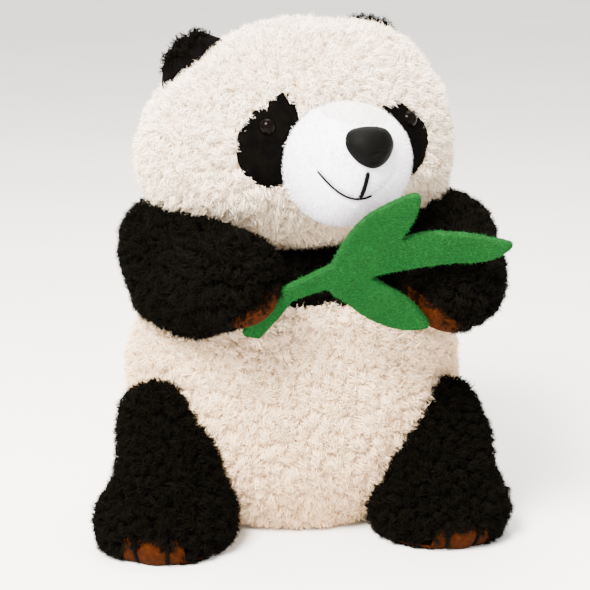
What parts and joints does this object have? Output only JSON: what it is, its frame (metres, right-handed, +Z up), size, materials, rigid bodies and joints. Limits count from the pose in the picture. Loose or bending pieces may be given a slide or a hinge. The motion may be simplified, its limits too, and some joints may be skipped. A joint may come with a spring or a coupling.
{
  "type": "plush panda",
  "caption": "Seated sherpa plush panda with a short-pile muzzle, patch eyes, half-moon ears, stubby jointed limbs and a felt bamboo sprig held in its paws.",
  "frame": {"origin": "centre of the seat's underside, on the floor under the neck axis", "axes": "+Z up, -Y the way the belly faces, +X towards the panda's own left"},
  "size_m": [0.193, 0.172, 0.244],
  "materials": {
    "cream_sherpa": "curly pile",
    "black_sherpa": "curly pile",
    "white_velboa": "short pile",
    "black_velboa": "short pile",
    "nose_flock": "flocked",
    "eye_gloss": "high gloss",
    "washer": "moulded",
    "brown_suede": "suede cloth",
    "black_thread": "twisted thread",
    "green_felt": "felt",
    "stuffing": "loose fibre",
    "bag_cloth": "woven",
    "pellets": "granules"
  },
  "bodies": {
    "torso": {"body_front_panel": "cream_sherpa", "body_back_panel": "cream_sherpa", "yoke_front": "black_sherpa", "yoke_back": "black_sherpa", "base_panel": "cream_sherpa", "pellet_bag": "bag_cloth", "pellets": "pellets", "body_stuffing": "stuffing"},
    "neck": {"neck_stuffing": "stuffing"},
    "head": {"head_front_panel": "cream_sherpa", "head_back_panel": "cream_sherpa", "head_stuffing": "stuffing", "muzzle_cover": "white_velboa", "muzzle_stuffing": "stuffing", "nose": "nose_flock", "nose_washer": "washer", "mouth_bar_thread": "black_thread", "smile_thread": "black_thread", "eye_patch_r": "black_velboa", "eye_patch_l": "black_velboa", "eye_r": "eye_gloss", "eye_l": "eye_gloss", "eye_washer_r": "washer", "eye_washer_l": "washer"},
    "ear_r": {"ear_front_r": "black_sherpa", "ear_back_r": "black_sherpa"},
    "arm_r": {"arm_cover_r": "black_sherpa", "palm_pad_r": "brown_suede", "arm_stuffing_r": "stuffing"},
    "leg_r": {"leg_cover_r": "black_sherpa", "leg_stuffing_r": "stuffing", "sole_r": "brown_suede", "toe_thread_in_r": "black_thread", "toe_thread_out_r": "black_thread"},
    "ear_l": {"ear_front_l": "black_sherpa", "ear_back_l": "black_sherpa"},
    "arm_l": {"arm_cover_l": "black_sherpa", "palm_pad_l": "brown_suede", "arm_stuffing_l": "stuffing"},
    "leg_l": {"leg_cover_l": "black_sherpa", "leg_stuffing_l": "stuffing", "sole_l": "brown_suede", "toe_thread_in_l": "black_thread", "toe_thread_out_l": "black_thread"},
    "sprig": {"bamboo_sprig": "green_felt"}
  },
  "joints": [
    {"name": "neck_turn", "type": "hinge", "parent": "torso", "child": "neck", "pos_m": [0, 0, 0.15], "axis": [0, 0, 1], "range_deg": [-25, 15], "stiffness_Nm_per_rad": 0.05},
    {"name": "head_nod", "type": "hinge", "parent": "neck", "child": "head", "pos_m": [0, 0, 0.15], "axis": [0.9703, 0.2419, 0], "range_deg": [-6, 3], "stiffness_Nm_per_rad": 0.6},
    {"name": "ear_fold_r", "type": "hinge", "parent": "head", "child": "ear_r", "pos_m": [-0.04874, 0.00949, 0.229], "axis": [0.874, 0.2179, 0.4344], "range_deg": [-12, 12], "stiffness_Nm_per_rad": 0.004},
    {"name": "arm_spread_r", "type": "hinge", "parent": "torso", "child": "arm_r", "pos_m": [-0.061, -0.002, 0.122], "axis": [0, 0, -1], "range_deg": [0, 22], "stiffness_Nm_per_rad": 0.05},
    {"name": "leg_kick_r", "type": "hinge", "parent": "torso", "child": "leg_r", "pos_m": [-0.071, -0.04, 0.06], "axis": [-1, 0, 0], "range_deg": [0, 22], "stiffness_Nm_per_rad": 0.05},
    {"name": "ear_fold_l", "type": "hinge", "parent": "head", "child": "ear_l", "pos_m": [0.03858, 0.03126, 0.229], "axis": [0.874, 0.2179, -0.4344], "range_deg": [-12, 12], "stiffness_Nm_per_rad": 0.004},
    {"name": "arm_spread_l", "type": "hinge", "parent": "torso", "child": "arm_l", "pos_m": [0.07, -0.004, 0.129], "axis": [0, 0, 1], "range_deg": [0, 22], "stiffness_Nm_per_rad": 0.05},
    {"name": "leg_kick_l", "type": "hinge", "parent": "torso", "child": "leg_l", "pos_m": [0.072, -0.04, 0.06], "axis": [-1, 0, 0], "range_deg": [0, 22], "stiffness_Nm_per_rad": 0.05},
    {"name": "sprig_bend", "type": "hinge", "parent": "arm_r", "child": "sprig", "pos_m": [-0.032, -0.072, 0.108], "axis": [1, 0, 0], "range_deg": [0, 18], "stiffness_Nm_per_rad": 0.01}
  ]
}
